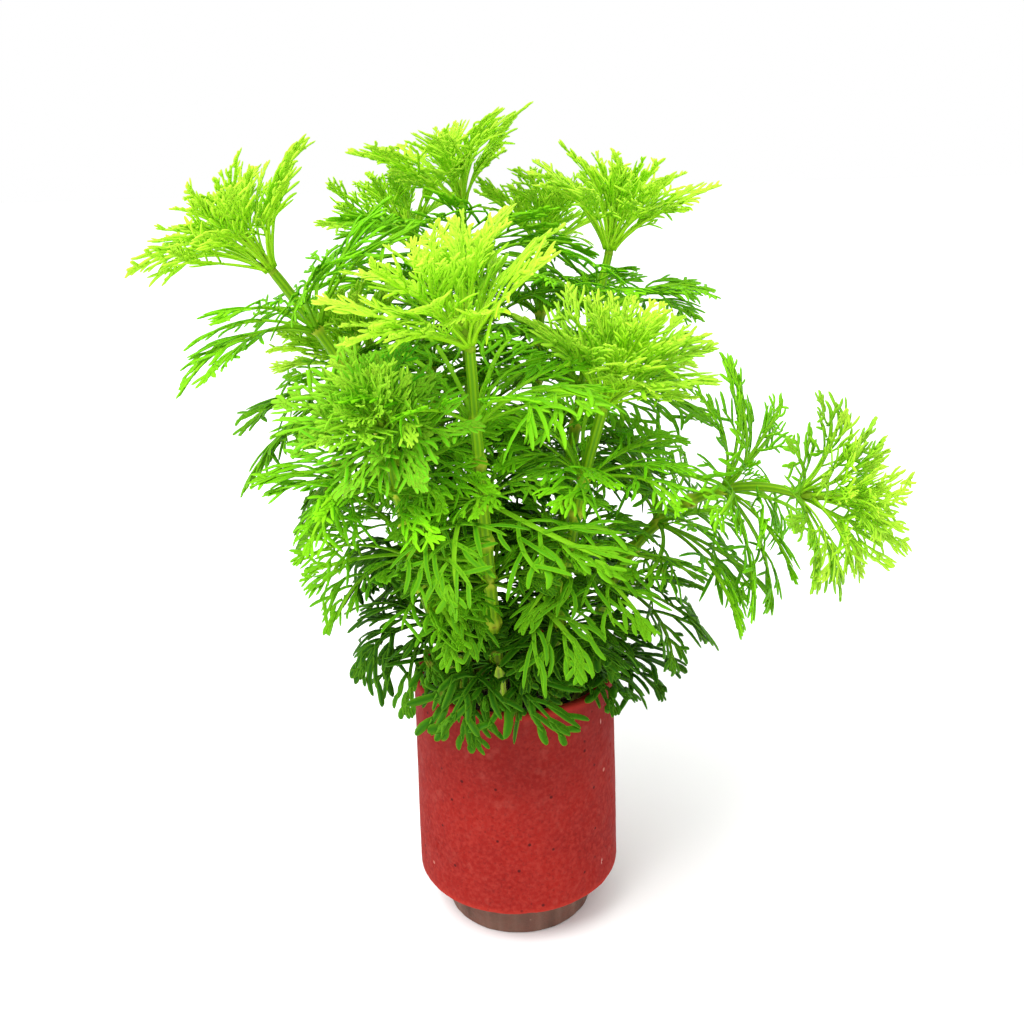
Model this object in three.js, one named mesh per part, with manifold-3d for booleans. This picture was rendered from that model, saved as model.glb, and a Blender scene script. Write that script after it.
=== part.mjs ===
// A bunch of water plants growing in a small cement pot.
//
// The pot is a thin-walled round cup that stands on a narrower foot and holds a plug of planting
// soil. Ten fleshy stems stand in the soil and fan out. Each stem carries whorls of feathery leaves,
// one whorl round every joint of the stem, and ends in a crown of young leaves round a bud.
//
// Millimetres, +Z up, origin at the centre of the foot's underside. -Y is the front.

import * as THREE from "three";
import { mergeVertices } from "three/addons/utils/BufferGeometryUtils.js";
import Module from "manifold-3d";

const wasm = await Module();
wasm.setup();

// ---------------------------------------------------------------- driving dimensions

const GAP = 0.3; // air between pieces that touch or pass through each other

const POT = {
  rimRadius: 22.5,
  baseRadius: 22.95, // the cup widens a little downwards
  wall: 2.2,
  height: 47.7,
  floor: 3.6,
  lip: 0.9, // radius of the rounded rim
  bottomEdge: 0.8,
  sides: 40,
};
const FOOT = { radius: 16.6, height: 9.6, edge: 0.7, sides: 40 };
const SOIL = { belowRim: 8, dome: 1.2, depth: 30, sides: 32 };

const STEM = { baseRadius: 1.8, tipRadius: 1.35, rootDepth: 9, sides: 7, steps: 9 };
const COLLAR = { wall: 1, height: 2.4, sides: 8 };
const BUD = { radius: 2.5, height: 7.5, sides: 8 };

// The joints of a stem stand closer together towards its tip: the top one is first below the crown,
// and each stretch of stem further down is growth times as long as the one above it.
const JOINTS = { first: 14.5, growth: 1.12 };

// A leaf is a thin plate, widest beyond its middle, that leaves the stem at its rise above the
// whorl's own plane and then bends over by its droop. at is how high on the core it starts.
const LEAF = { thickness: 0.8, rootWidth: 1.3, midWidth: 7.2, tipWidth: 2.2, widestAt: 0.6 };
const CROWN = [
  { at: 1.6, leaves: 8, length: 25, rise: 38, droop: -2 },
  { at: 3.2, leaves: 4, length: 18, rise: 62, droop: -10 },
];
// Whorls in order downwards from the crown: the leaves get flatter, then hang. The lowest whorl of
// every stem is of the last kind.
const WHORLS = [
  { at: 0, leaves: 7, length: 26, rise: 27, droop: 26 },
  { at: 0, leaves: 7, length: 26, rise: 16, droop: 36 },
  { at: 0, leaves: 6, length: 23, rise: 11, droop: 40 },
  { at: 0, leaves: 6, length: 15, rise: 22, droop: 30 },
];
const RISE_SPREAD = 9; // degrees that single leaves stand above or below their whorl's rise
const SHORTER = [1, 0.85, 0.7, 0.55, 0.4]; // lengths tried in turn for a leaf that meets a neighbour

// Each stem rises from its root in the soil, bends at its bow and ends at its tip. The crown on it
// looks along face, opened out by open degrees, and size scales all the stem's leaves.
const soilTop = FOOT.height + POT.height - SOIL.belowRim;
const STEMS = [
  stem("front", [-2, -12], [-4, -28, 84], [-6, -35, 137], { face: [-0.35, -0.2, 1], whorls: 4 }),
  stem("front_left", [-7, -6], [-22, -18, 92], [-22, -32, 121], {
    face: [-0.1, -0.8, 0.6],
    open: 12,
    size: 0.8,
  }),
  stem("front_right", [8, -10], [8, -20, 85], [19, -21, 122], { face: [0.3, -0.15, 1], size: 0.88 }),
  stem("left", [-9, -1], [-12, -2, 100], [-47, -2, 148], { face: [-0.7, -0.1, 1], size: 0.97, whorls: 4 }),
  stem("right", [13, -4], [21.5, 2, 107], [59, -14, 101], {
    face: [0.7, -0.7, 0.1],
    open: 14,
    size: 0.9,
    whorls: 4,
  }),
  stem("back_right", [8, 10], [11, 14, 96], [24, 20, 148], { face: [0.15, 0, 1], size: 0.93, whorls: 4 }),
  stem("back_left", [-2, 5], [-10, 20, 102], [-9, 33, 158], { face: [-0.25, -0.1, 1], size: 1.05, whorls: 4 }),
  stem("back_middle", [2, 13], [6, 30, 98], [10, 42, 146], { face: [0.1, 0.4, 1], size: 0.9 }),
  stem("back_far_left", [-6, 9], [-16, 26, 100], [-22, 46, 148], { face: [-0.4, 0.4, 1], size: 0.9 }),
  stem("middle_left", [-10, 7], [-20, 14, 92], [-32, 21, 122], { face: [-0.6, 0.3, 1], size: 0.85 }),
];

function stem(name, root, bow, tip, { face, open = 0, size = 1, whorls = 3 }) {
  return { name, root, bow, tip, face, open, size, whorls };
}

// ---------------------------------------------------------------- helpers

const radians = THREE.MathUtils.degToRad;

// A repeatable number from -1 to 1 for each seed, so that no two leaves stand quite alike.
function vary(seed) {
  const wave = Math.sin(seed * 12.9898 + 4.1) * 43758.5453;
  return 2 * (wave - Math.floor(wave)) - 1;
}

// A three.js geometry as a manifold-3d solid.
function solidOf(geometry) {
  const plain = geometry.clone();
  plain.deleteAttribute("normal");
  plain.deleteAttribute("uv");
  const merged = mergeVertices(plain, 1e-4);
  return new wasm.Manifold(
    new wasm.Mesh({
      numProp: 3,
      vertProperties: merged.attributes.position.array,
      triVerts: new Uint32Array(merged.index.array),
    }),
  );
}

// A manifold-3d solid as a three.js geometry.
function geometryOf(solid) {
  const mesh = solid.getMesh();
  const geometry = new THREE.BufferGeometry();
  geometry.setAttribute("position", new THREE.BufferAttribute(new Float32Array(mesh.vertProperties), 3));
  geometry.setIndex(new THREE.BufferAttribute(new Uint32Array(mesh.triVerts), 1));
  geometry.computeVertexNormals();
  return geometry;
}

// A profile of [radius, height] points turned round the Z axis.
function turned(profile, sides) {
  const points = profile.map(([r, z]) => new THREE.Vector2(r, z));
  return new THREE.LatheGeometry(points, sides).rotateX(Math.PI / 2);
}

// Points of a quarter circle round [r, z], from one angle to another in degrees.
function arc(r, z, radius, from, to, steps = 3) {
  return Array.from({ length: steps + 1 }, (_, i) => {
    const angle = radians(from + ((to - from) * i) / steps);
    return [r + radius * Math.cos(angle), z + radius * Math.sin(angle)];
  });
}

function finish(colour, roughness) {
  return new THREE.MeshStandardMaterial({ color: colour, roughness, metalness: 0 });
}

const RED_CEMENT = finish(0xa8322c, 0.85);
const BARE_CEMENT = finish(0x6f5a50, 0.8);
const DARK_SOIL = finish(0x2c221b, 1.0);
const STEM_GREEN = finish(0x86b53a, 0.5);
const LEAF_GREEN = finish(0x4fae1e, 0.55);
const YOUNG_LEAF = finish(0x9ddb2c, 0.55);

const plant = new THREE.Group();

function addMesh(name, geometry, material) {
  const mesh = new THREE.Mesh(geometry, material);
  mesh.name = name;
  plant.add(mesh);
}

// ---------------------------------------------------------------- pot and foot

function potGeometry() {
  const { rimRadius, baseRadius, wall, floor, lip, bottomEdge } = POT;
  const bottom = FOOT.height;
  const top = bottom + POT.height;
  return turned(
    [
      [0, bottom],
      ...arc(baseRadius - bottomEdge, bottom + bottomEdge, bottomEdge, -90, 0, 2),
      ...arc(rimRadius - lip, top - lip, lip, 0, 90),
      ...arc(rimRadius - wall + lip, top - lip, lip, 90, 180),
      [baseRadius - wall, bottom + floor],
      [0, bottom + floor],
    ],
    POT.sides,
  );
}

function footGeometry() {
  const { radius, height, edge } = FOOT;
  return turned(
    [[0, 0], [radius - edge, 0], [radius, edge], [radius, height - GAP], [0, height - GAP]],
    FOOT.sides,
  );
}

addMesh("pot", potGeometry(), RED_CEMENT);
addMesh("pot_foot", footGeometry(), BARE_CEMENT);

// ---------------------------------------------------------------- stems

function stemCurve({ root, bow, tip }) {
  return new THREE.QuadraticBezierCurve3(
    new THREE.Vector3(root[0], root[1], soilTop - STEM.rootDepth),
    new THREE.Vector3(...bow),
    new THREE.Vector3(...tip),
  );
}

function stemRadius(share) {
  return THREE.MathUtils.lerp(STEM.baseRadius, STEM.tipRadius, share);
}

// A frame with its origin at a point, Z along a direction and X level.
function frameAt(point, along) {
  const z = along.clone().normalize();
  const x = new THREE.Vector3(0, 1, 0).cross(z).normalize();
  return new THREE.Matrix4().makeBasis(x, z.clone().cross(x), z).setPosition(point);
}

// A capped cylinder bent along the curve and tapered from root to tip, larger all round by grow.
function stemGeometry(curve, grow = 0) {
  const geometry = new THREE.CylinderGeometry(1, 1, 1, STEM.sides, STEM.steps);
  const position = geometry.attributes.position;
  const point = new THREE.Vector3();
  for (let i = 0; i < position.count; i++) {
    point.fromBufferAttribute(position, i);
    const share = point.y + 0.5;
    const radius = stemRadius(share) + grow;
    const beyond = grow * (Number(share > 0.999) - Number(share < 0.001));
    point.set(-point.x * radius, point.z * radius, beyond);
    point.applyMatrix4(frameAt(curve.getPointAt(share), curve.getTangentAt(share)));
    position.setXYZ(i, point.x, point.y, point.z);
  }
  return geometry;
}

// ---------------------------------------------------------------- leaves

// One leaf in its whorl's frame: a box bent along the arc of the leaf, from the core outwards.
function leafGeometry({ angle, rise, droop, at, length, start, width }, grow = 0) {
  const geometry = new THREE.BoxGeometry(1, 1, 1, 2, 1, 1);
  const position = geometry.attributes.position;
  const turn = new THREE.Matrix4().makeRotationZ(angle);
  const point = new THREE.Vector3();
  for (let i = 0; i < position.count; i++) {
    point.fromBufferAttribute(position, i);
    const step = Math.round((point.x + 0.5) * 2);
    const share = [0, LEAF.widestAt, 1][step];
    const wide = [LEAF.rootWidth, LEAF.midWidth * width, LEAF.tipWidth][step] + 2 * grow;
    const thick = point.z * (LEAF.thickness + 2 * grow);
    const reach = length * share + (step === 2 ? grow : 0);
    const slope = radians(rise - droop * share); // of the leaf's surface here
    const chord = radians(rise - (droop * share) / 2); // of the line to here from the leaf's root
    const out = start + reach * Math.cos(chord) - thick * Math.sin(slope);
    const up = at + reach * Math.sin(chord) + thick * Math.cos(slope);
    point.set(out, point.y * wide, up).applyMatrix4(turn);
    position.setXYZ(i, point.x, point.y, point.z);
  }
  return geometry;
}

// What is in place already, each solid with its box, so that leaves can keep clear of it.
const standing = [];

function stand(solid) {
  standing.push({ solid, box: boxOf(solid) });
}

function boxOf(solid) {
  const { min, max } = solid.boundingBox();
  return new THREE.Box3(new THREE.Vector3(...min), new THREE.Vector3(...max));
}

function isClear(solid) {
  const box = boxOf(solid);
  const near = standing.filter((other) => box.intersectsBox(other.box));
  return near.every((other) => solid.intersect(other.solid).volume() < 1e-6);
}

// A core with its rings of leaves, in the part's own frame, clear of the stem that carries it. Each
// leaf is as long as the room for it allows, and a leaf with no room is left off.
function foliage({ core, rings, frame, seed, size, start, cleared, open = 0 }) {
  const place = frame.toArray();
  let solid = solidOf(core).transform(place);
  rings.forEach((ring, level) => {
    for (let k = 0; k < ring.leaves; k++) {
      const odd = vary(seed * 31 + level * 7 + k);
      const even = vary(seed * 17 + level * 5 + k + 0.5);
      const leaf = {
        angle: ((k + 0.5 * ((seed + level) % 2) + 0.12 * odd) / ring.leaves) * 2 * Math.PI,
        rise: ring.rise - open + RISE_SPREAD * even,
        droop: ring.droop,
        at: ring.at,
        start,
        width: size,
      };
      for (const share of SHORTER) {
        leaf.length = ring.length * size * (1 + 0.08 * odd) * share;
        if (!isClear(solidOf(leafGeometry(leaf, GAP)).transform(place))) continue;
        solid = solid.add(solidOf(leafGeometry(leaf)).transform(place));
        break;
      }
    }
  });
  return solid.subtract(cleared);
}

// The ring of a whorl. The flats of its bore are what keeps clear of the stem inside it.
function collarGeometry(stemSize) {
  const { wall, height, sides } = COLLAR;
  const inner = (stemSize + GAP) / Math.cos(Math.PI / sides) + 0.1;
  const outer = inner + wall;
  const top = height / 2;
  return turned([[inner, -top], [outer, -top], [outer, top], [inner, top], [inner, -top]], sides);
}

function budGeometry() {
  const { radius, height, sides } = BUD;
  return turned([[0, 0], [radius, 0], [radius, 2.6], [radius * 0.55, height * 0.7], [0, height]], sides);
}

// ---------------------------------------------------------------- the soil with the stems in it

const stems = STEMS.map((stem) => {
  const curve = stemCurve(stem);
  return { ...stem, curve, cleared: solidOf(stemGeometry(curve, GAP)) };
});

for (const { name, curve, cleared } of stems) {
  addMesh(`stem_${name}`, stemGeometry(curve), STEM_GREEN);
  stand(cleared);
}

// The soil fills the pot to a little under the rim, and the stems stand in holes in it.
function soilSolid() {
  const bottom = soilTop - SOIL.depth;
  const radius = POT.rimRadius - POT.wall - GAP;
  const edge = soilTop - SOIL.dome;
  const shoulder = [radius * 0.6, soilTop - SOIL.dome / 4];
  const profile = [[0, bottom], [radius, bottom], [radius, edge], shoulder, [0, soilTop]];
  return stems.reduce((soil, stem) => soil.subtract(stem.cleared), solidOf(turned(profile, SOIL.sides)));
}

const soil = soilSolid();
addMesh("soil", geometryOf(soil), DARK_SOIL);
stand(soil);
stand(solidOf(potGeometry()));

// ---------------------------------------------------------------- crowns and whorls

// The crowns come first and the whorls follow from the top downwards, so that the leaves in the
// light keep their full length.
stems.forEach(({ name, tip, face, open, size, cleared }, seed) => {
  const frame = frameAt(new THREE.Vector3(...tip), new THREE.Vector3(...face));
  const start = BUD.radius * 0.75;
  const crown = foliage({ core: budGeometry(), rings: CROWN, frame, seed, size, start, cleared, open });
  addMesh(`crown_${name}`, geometryOf(crown), YOUNG_LEAF);
  stand(crown);
});

WHORLS.forEach((_, order) => {
  const fromTip = (JOINTS.first * (JOINTS.growth ** (order + 1) - 1)) / (JOINTS.growth - 1);
  stems.forEach(({ name, curve, size, whorls, cleared }, index) => {
    if (order >= whorls) return;
    const share = 1 - fromTip / curve.getLength();
    const frame = frameAt(curve.getPointAt(share), curve.getTangentAt(share));
    const core = collarGeometry(stemRadius(share));
    const rings = [order === whorls - 1 ? WHORLS.at(-1) : WHORLS[order]];
    const start = stemRadius(share) + GAP + COLLAR.wall * 0.8;
    const seed = index + 10 * (order + 1);
    const whorl = foliage({ core, rings, frame, seed, size, start, cleared });
    addMesh(`whorl_${name}_${order + 1}`, geometryOf(whorl), LEAF_GREEN);
    stand(whorl);
  });
});

export default plant;
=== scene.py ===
"""A bunch of water plants in a small red cement pot, rebuilt leaf by leaf on its CAD frame.

Metres, +Z up, origin at the centre of the foot's underside, -Y to the front.
"""

from math import radians

import bpy
import numpy as np
from mathutils import Matrix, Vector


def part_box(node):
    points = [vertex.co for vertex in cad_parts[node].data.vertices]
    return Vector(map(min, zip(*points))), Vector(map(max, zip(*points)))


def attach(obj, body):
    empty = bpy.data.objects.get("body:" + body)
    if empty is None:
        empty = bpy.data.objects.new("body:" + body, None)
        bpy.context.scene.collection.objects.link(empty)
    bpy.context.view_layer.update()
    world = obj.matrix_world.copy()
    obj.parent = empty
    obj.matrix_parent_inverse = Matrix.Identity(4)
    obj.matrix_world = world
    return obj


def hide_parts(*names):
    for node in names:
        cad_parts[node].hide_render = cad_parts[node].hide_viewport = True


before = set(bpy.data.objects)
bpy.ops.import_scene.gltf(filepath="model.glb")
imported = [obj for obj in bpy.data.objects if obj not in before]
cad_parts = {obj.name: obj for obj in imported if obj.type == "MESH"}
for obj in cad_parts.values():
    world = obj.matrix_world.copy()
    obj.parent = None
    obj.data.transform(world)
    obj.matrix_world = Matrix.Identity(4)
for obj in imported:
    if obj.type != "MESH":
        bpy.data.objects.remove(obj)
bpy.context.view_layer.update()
scene = bpy.context.scene
mm = 0.001

# ---------------------------------------------------------------- the pot
# A thin-walled cup cast in cement that is dyed brick red all through. It was cast upside down in a
# mould, so its wall is smooth with a few pits left by air bubbles, and its edges are slightly chipped.

POT_WALL = 2.2 * mm
POT_FLOOR = 3.6 * mm
POT_FLARE = 0.98  # the rim's radius over the bottom's
POT_SIDES = 360
RIM_ROUND = 0.95 * mm
EDGE_ROUND = 0.9 * mm
WALL_ROWS, FLOOR_ROWS = 24, 10  # rows of points down the inside of the wall and over its floor
PITS = 70
WAVES = 24  # sine waves in a soft random field
AXIS_GAP = 0.2 * mm  # how near the axis an outline comes before its pole


def closed_faces(rings, around, copies=1):
    """The faces of closed skins: each has rings * around points, then its first and its last pole.

    Quads join each ring to the next one, and a fan of triangles joins an end ring to its pole.
    """
    ring, side = np.meshgrid(np.arange(rings - 1), np.arange(around), indexing="ij")
    here = ring * around + side
    beside = ring * around + (side + 1) % around
    quads = np.stack([here, beside, beside + around, here + around], -1).reshape(-1, 4)
    side = np.arange(around)
    after = (side + 1) % around
    last = (rings - 1) * around
    pole = np.full(around, rings * around)
    fans = np.concatenate(
        [np.stack([after, side, pole], -1), np.stack([last + side, last + after, pole + 1], -1)]
    )
    step = (np.arange(copies) * (rings * around + 2))[:, None, None]
    return (quads + step).reshape(-1, 4), (fans + step).reshape(-1, 3)


def make_piece(name, points, faces, values=None):
    """A smooth mesh object from points, quads and triangles, with named values at its points."""
    quads, fans = faces
    mesh = bpy.data.meshes.new(name)
    mesh.vertices.add(len(points))
    mesh.vertices.foreach_set("co", points.astype(np.float32).ravel())
    corners = np.concatenate([quads.ravel(), fans.ravel()])
    mesh.loops.add(len(corners))
    mesh.loops.foreach_set("vertex_index", corners.astype(np.int32))
    starts = np.concatenate([np.arange(len(quads)) * 4, quads.size + np.arange(len(fans)) * 3])
    mesh.polygons.add(len(starts))
    mesh.polygons.foreach_set("loop_start", starts.astype(np.int32))
    mesh.polygons.foreach_set("use_smooth", np.ones(len(starts), bool))
    for key, value in (values or {}).items():
        layer = mesh.attributes.new(key, "FLOAT", "POINT")
        layer.data.foreach_set("value", np.asarray(value, np.float32).ravel())
    mesh.update(calc_edges=True)
    piece = bpy.data.objects.new(name, mesh)
    scene.collection.objects.link(piece)
    return piece


def join_frame(piece, node, material):
    """The piece stands for its CAD node, moves with the pot and wears the material."""
    piece.data.materials.append(material)
    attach(piece, "root")
    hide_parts(node)


def arc_points(centre, radius, start, end, steps):
    """Points (r, z) of a circle's arc: centre + radius * (cos a, sin a), a from start to end degrees."""
    angle = np.radians(np.linspace(start, end, steps))
    return np.stack([centre[0] + radius * np.cos(angle), centre[1] + radius * np.sin(angle)], -1)


def turned(profile, sides):
    """A profile of (r, z) carried round the Z axis: (r cos a, r sin a, z)."""
    angle = np.linspace(0, 2 * np.pi, sides, endpoint=False)
    r, z = profile[:, 0, None], profile[:, 1, None]
    return np.stack([r * np.cos(angle), r * np.sin(angle), z + 0 * angle], -1)


def with_poles(grid):
    """The grid's points in a row, followed by the middle of its first and of its last ring."""
    return np.concatenate([grid.reshape(-1, 3), grid[:1].mean(1), grid[-1:].mean(1)])


def waves(points, seed, size):
    """A soft random field from about -1 to 1: the mean of sine waves about size metres long."""
    rng = np.random.default_rng(seed)
    direction = rng.normal(size=(WAVES, 3)) * (2 * np.pi / size) / 1.7
    phase = rng.uniform(0, 2 * np.pi, WAVES)
    return np.sin(points @ direction.T + phase).mean(-1) * 2.2


pot_low, pot_high = (np.array(corner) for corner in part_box("pot"))
base_radius = (pot_high[0] - pot_low[0]) / 2
rim_radius = base_radius * POT_FLARE
pot_bottom, pot_top = pot_low[2], pot_high[2]


def straight(start, end, steps):
    """Points evenly along a straight line, without its two ends."""
    share = np.linspace(0, 1, steps + 2)[1:-1, None]
    return np.array(start) * (1 - share) + np.array(end) * share


def make_pot():
    """The cup's outline turned round, with waves in its wall, pits and chipped edges.

    A pit at distance d from its middle goes in by depth * exp(-(d / size)^2), and a chip does the
    same along the bottom edge.
    """
    inner_base = base_radius - POT_WALL
    lip = pot_top - RIM_ROUND
    edge = pot_bottom + EDGE_ROUND
    floor = pot_bottom + POT_FLOOR
    outline = np.concatenate(
        [
            straight((AXIS_GAP, pot_bottom), (base_radius - EDGE_ROUND, pot_bottom), 14),
            arc_points((base_radius - EDGE_ROUND, edge), EDGE_ROUND, -90, 0, 9),
            straight((base_radius, edge), (rim_radius, lip), 100),
            arc_points((rim_radius - RIM_ROUND, lip), RIM_ROUND, 0, 90, 9),
            arc_points((rim_radius - POT_WALL + RIM_ROUND, lip), RIM_ROUND, 90, 180, 9),
            straight((rim_radius - POT_WALL, lip), (inner_base, floor), WALL_ROWS),
            straight((inner_base, floor), (AXIS_GAP, floor), FLOOR_ROWS),
        ]
    )
    grid = turned(outline, POT_SIDES)
    radius = np.hypot(grid[..., 0], grid[..., 1])
    height = grid[..., 2]
    outward = grid * (1, 1, 0) / radius[..., None]
    shaded_inside = np.arange(len(outline)) >= len(outline) - WALL_ROWS - FLOOR_ROWS
    near_rim = np.exp(-(((height - pot_top) / (1.2 * mm)) ** 2))
    near_edge = np.exp(-(((height - pot_bottom) / (1.1 * mm)) ** 2)) * (radius > base_radius * 0.9)

    push = 0.1 * mm * waves(grid, 1, 22 * mm) + 0.04 * mm * waves(grid, 2, 5 * mm)
    push -= near_edge * 0.22 * mm * np.clip(waves(grid, 3, 4 * mm) - 0.1, 0, 1)
    rng = np.random.default_rng(4)
    angle = rng.uniform(0, 2 * np.pi, PITS)
    tall = rng.uniform(pot_bottom + 2 * mm, pot_top - 2 * mm, PITS)
    size = rng.uniform(0.22, 0.5, PITS) * mm
    for turn, level, wide in zip(angle, tall, size):
        across = base_radius * np.angle(np.exp(1j * (np.arctan2(grid[..., 1], grid[..., 0]) - turn)))
        far = (across**2 + (height - level) ** 2) / wide**2
        push = push - np.where(radius > rim_radius * 0.95, 0.7 * wide * np.exp(-far), 0)
    grid = grid + outward * push[..., None]
    grid[..., 2] += near_rim * 0.18 * mm * waves(grid * (1, 1, 0), 5, 12 * mm)
    grid[..., 2] -= near_edge * 0.15 * mm * waves(grid * (1, 1, 0), 6, 7 * mm)

    values = {
        # edge marks the rim and the bottom edge, where the paint puts a highlight.
        "edge": np.append(np.maximum(near_rim, near_edge).ravel(), [0, 0]),
        "shaded_inside": np.append(np.repeat(shaded_inside, POT_SIDES), [0, 1]),
    }
    return make_piece("pot_shell", with_poles(grid), closed_faces(len(outline), POT_SIDES), values)


def add_node(tree, kind, inputs=None, **settings):
    """Adds a shader node. A socket among the inputs is linked, and anything else is set as a value."""
    node = tree.nodes.new(kind)
    for key, value in settings.items():
        setattr(node, key, value)
    for key, value in (inputs or {}).items():
        if isinstance(value, bpy.types.NodeSocket):
            tree.links.new(value, node.inputs[key])
        else:
            node.inputs[key].default_value = value
    return node


def new_group(name, inputs, output):
    """An empty shader node group with float inputs, a Vector input and one float output."""
    group = bpy.data.node_groups.new(name, "ShaderNodeTree")
    group.interface.new_socket("Vector", in_out="INPUT", socket_type="NodeSocketVector")
    for label, value in inputs.items():
        socket = group.interface.new_socket(label, in_out="INPUT", socket_type="NodeSocketFloat")
        socket.default_value = value
    group.interface.new_socket(output, in_out="OUTPUT", socket_type="NodeSocketFloat")
    return group, group.nodes.new("NodeGroupInput"), group.nodes.new("NodeGroupOutput")


def mottle_group():
    """Cloudy variation: fractal noise of the given scale, spread from From to To."""
    group, given, result = new_group("mottle", {"Scale": 100, "From": 0, "To": 1}, "Value")
    place = {"Vector": given.outputs["Vector"], "Scale": given.outputs["Scale"]}
    noise = add_node(group, "ShaderNodeTexNoise", {**place, "Detail": 5})
    spread = add_node(
        group,
        "ShaderNodeMapRange",
        {
            "Value": noise.outputs["Fac"],
            "From Min": 0.32,
            "From Max": 0.68,
            "To Min": given.outputs["From"],
            "To Max": given.outputs["To"],
        },
    )
    group.links.new(spread.outputs["Result"], result.inputs["Value"])
    return group


def specks_group():
    """Scattered round dots: 1 inside Radius of a cell's middle in that Share of the cells, else 0."""
    group, given, result = new_group("specks", {"Scale": 100, "Radius": 0.2, "Share": 0.3}, "Mask")
    core = add_node(group, "ShaderNodeMath", {0: given.outputs["Radius"], 1: 0.45}, operation="MULTIPLY")
    place = {"Vector": given.outputs["Vector"], "Scale": given.outputs["Scale"]}
    cells = add_node(group, "ShaderNodeTexVoronoi", place)
    dot = add_node(
        group,
        "ShaderNodeMapRange",
        {
            "Value": cells.outputs["Distance"],
            "From Min": given.outputs["Radius"],
            "From Max": core.outputs[0],
            "To Min": 0,
            "To Max": 1,
        },
        interpolation_type="SMOOTHSTEP",
    )
    chance = add_node(group, "ShaderNodeSeparateColor", {"Color": cells.outputs["Color"]})
    draw = {0: chance.outputs["Red"], 1: given.outputs["Share"]}
    picked = add_node(group, "ShaderNodeMath", draw, operation="LESS_THAN")
    both = {0: dot.outputs["Result"], 1: picked.outputs[0]}
    mask = add_node(group, "ShaderNodeMath", both, operation="MULTIPLY")
    group.links.new(mask.outputs[0], result.inputs["Mask"])
    return group


GROUPS = {"mottle": mottle_group(), "specks": specks_group()}


class Paint:
    """A material in the making: its node tree, its surface shader and short ways to add nodes."""

    def __init__(self, name, roughness, **constants):
        self.material = bpy.data.materials.new(name)
        self.material.use_nodes = True
        self.tree = self.material.node_tree
        self.surface = self.tree.nodes["Principled BSDF"]
        self.surface.inputs["Roughness"].default_value = roughness
        for label, value in constants.items():
            self.surface.inputs[label.replace("_", " ")].default_value = value
        self.place = add_node(self.tree, "ShaderNodeTexCoord").outputs["Object"]

    def stretched(self, scale):
        """Object coordinates stretched by a scale along each axis."""
        node = add_node(self.tree, "ShaderNodeMapping", {"Vector": self.place, "Scale": scale})
        return node.outputs[0]

    def effect(self, group, vector=None, **inputs):
        """One of the shared effects, with its own values here."""
        node = add_node(self.tree, "ShaderNodeGroup", node_tree=GROUPS[group])
        self.tree.links.new(vector or self.place, node.inputs["Vector"])
        for label, value in inputs.items():
            node.inputs[label].default_value = value
        return node.outputs[0]

    def value(self, name):
        """A value that the mesh carries at its points."""
        return add_node(self.tree, "ShaderNodeAttribute", attribute_name=name).outputs["Fac"]

    def math(self, operation, *terms):
        """A sum, product or other function of sockets and numbers, kept from 0 to 1."""
        inputs = dict(enumerate(terms))
        node = add_node(self.tree, "ShaderNodeMath", inputs, operation=operation, use_clamp=True)
        return node.outputs[0]

    def mix(self, factor, low, high):
        """The colour low where the factor is 0 and high where it is 1."""
        node = self.tree.nodes.new("ShaderNodeMix")
        node.data_type = "RGBA"
        for index, given in ((0, factor), (6, low), (7, high)):
            if isinstance(given, bpy.types.NodeSocket):
                self.tree.links.new(given, node.inputs[index])
            else:
                node.inputs[index].default_value = given if index == 0 else (*given, 1)
        return node.outputs[2]

    def colour(self, socket):
        self.tree.links.new(socket, self.surface.inputs["Base Color"])

    def roughness(self, socket):
        self.tree.links.new(socket, self.surface.inputs["Roughness"])

    def relief(self, height, depth, strength=0.6):
        """Fine relief of the given depth in metres, too small to model."""
        shape = {"Height": height, "Distance": depth, "Strength": strength}
        bump = add_node(self.tree, "ShaderNodeBump", shape)
        self.tree.links.new(bump.outputs[0], self.surface.inputs["Normal"])


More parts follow.
